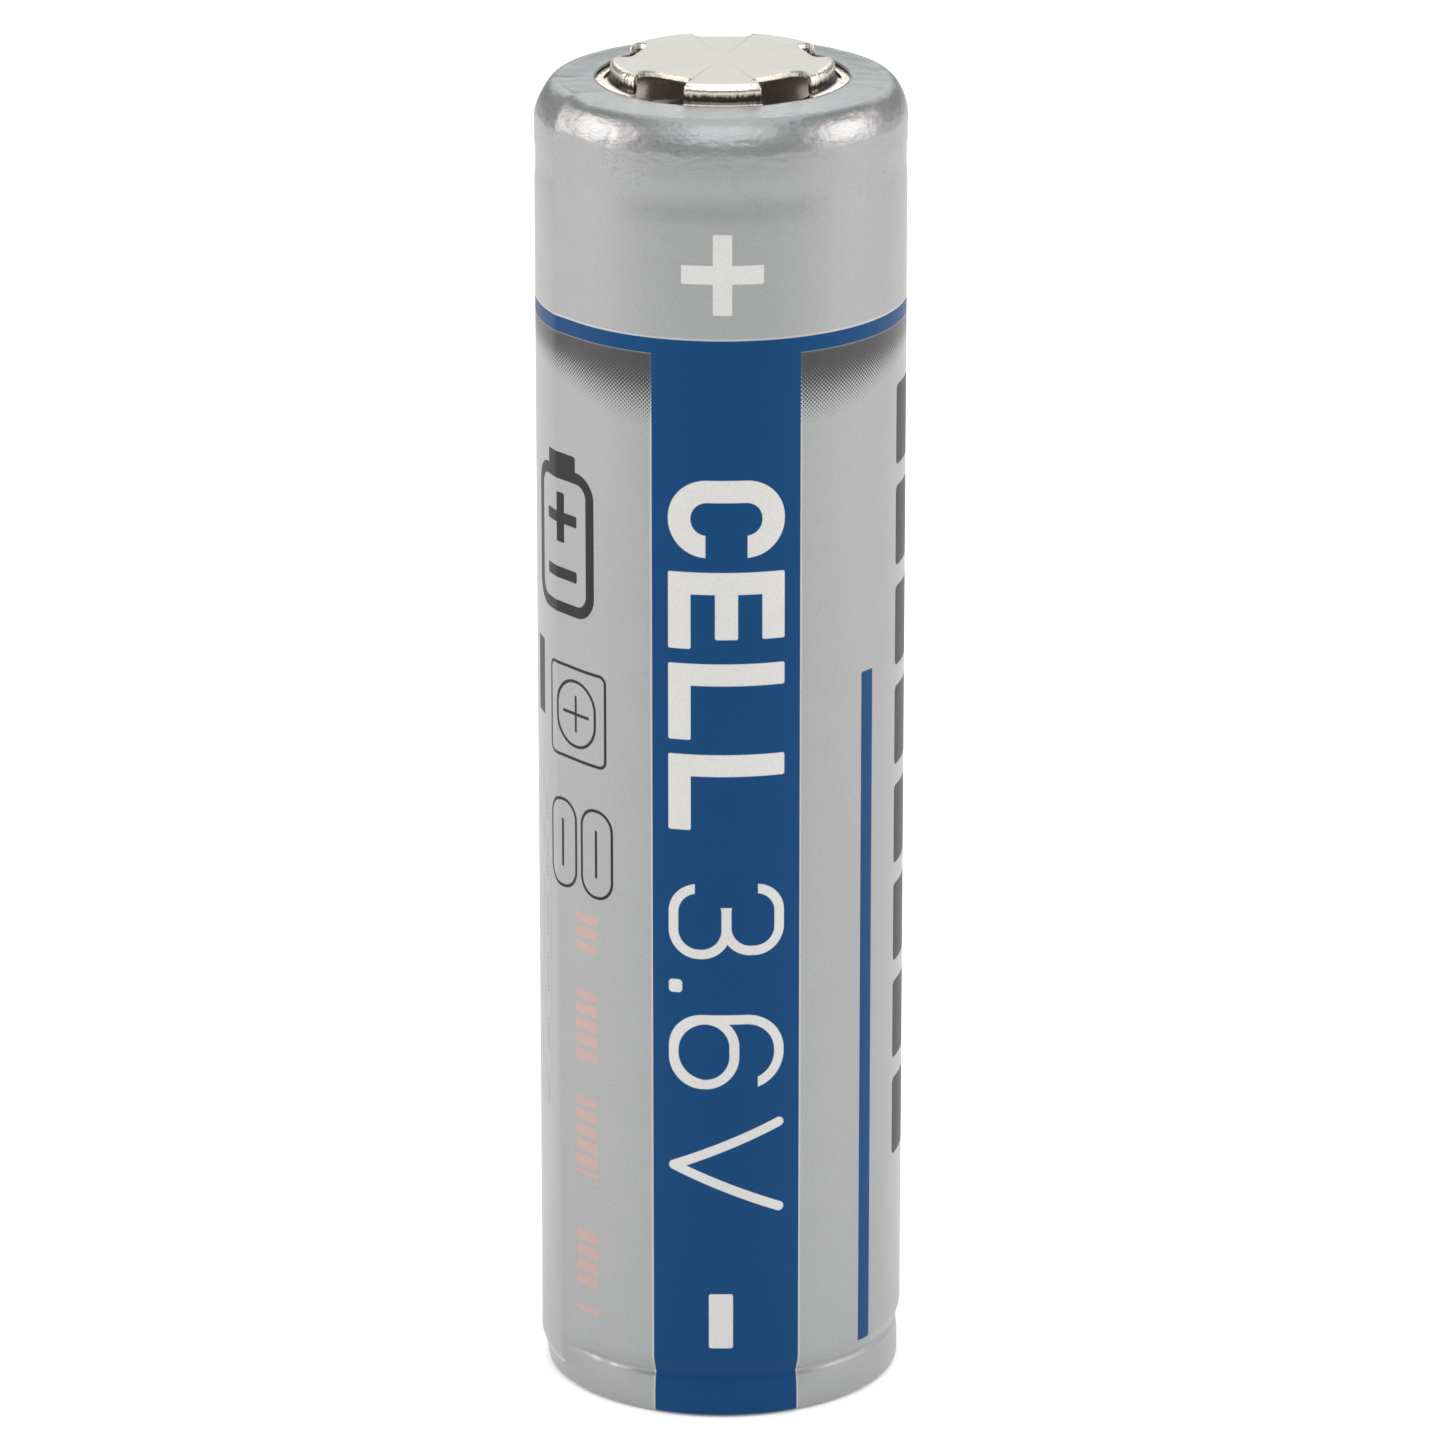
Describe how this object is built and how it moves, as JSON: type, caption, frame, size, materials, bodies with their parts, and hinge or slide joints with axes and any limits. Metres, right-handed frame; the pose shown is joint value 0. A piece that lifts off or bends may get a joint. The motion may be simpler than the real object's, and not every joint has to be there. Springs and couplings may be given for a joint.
{
  "type": "cylindrical battery cell",
  "caption": "Round protected lithium-ion cell in a printed heat-shrink sleeve, with a raised windowed button at one end and a flat contact disc at the other.",
  "frame": {"origin": "centre of the negative contact's underside, on the cell's axis", "axes": "+Z along the cell's axis, from the negative contact to the positive button; -Y towards the printed front"},
  "size_m": [0.0187, 0.0184, 0.0695],
  "materials": {
    "sleeve": "satin",
    "button_nickel": "satin",
    "nickel_strip": "satin",
    "polyimide_tape": "gloss",
    "clear_tape": "gloss",
    "cell_wrap": "satin",
    "can_steel": "satin",
    "gasket_plastic": "satin",
    "cap_steel": "satin",
    "ptc_polymer": "matte",
    "soft_aluminium": "satin",
    "insulating_paper": "matte",
    "red_fibre": "matte",
    "cathode_coating": "matte",
    "anode_coating": "matte",
    "separator_film": "satin",
    "closing_tape": "gloss",
    "pin_steel": "polished",
    "board_laminate": "satin",
    "chip_epoxy": "matte",
    "resistor_body": "satin",
    "capacitor_body": "satin",
    "solder": "polished"
  },
  "bodies": {
    "root": {"outer_sleeve": "sleeve", "positive_button": "button_nickel", "insulating_washer": "insulating_paper", "positive_lead_strip": "nickel_strip", "strip_backing_tape": "polyimide_tape", "strip_cover_tape": "clear_tape", "inner_wrap": "cell_wrap", "steel_can": "can_steel", "header_gasket": "gasket_plastic", "cell_cap": "cap_steel", "ptc_ring": "ptc_polymer", "vent_disc": "soft_aluminium", "vent_insulator": "gasket_plastic", "vent_contact_plate": "soft_aluminium", "positive_tab": "soft_aluminium", "upper_insulator": "red_fibre", "cathode_sheet": "cathode_coating", "anode_sheet": "anode_coating", "inner_separator": "separator_film", "outer_separator": "separator_film", "roll_closing_tape": "closing_tape", "centre_pin": "pin_steel", "lower_insulator": "insulating_paper", "negative_tab": "nickel_strip", "can_base_insulator": "insulating_paper", "negative_lead_tab": "nickel_strip", "board_spacer_ring": "gasket_plastic", "protection_board": "board_laminate", "power_mosfets": "chip_epoxy", "protection_chip": "chip_epoxy", "board_resistors": "resistor_body", "board_capacitor": "capacitor_body", "solder_joints": "solder", "negative_contact_disc": "button_nickel"}
  },
  "joints": []
}
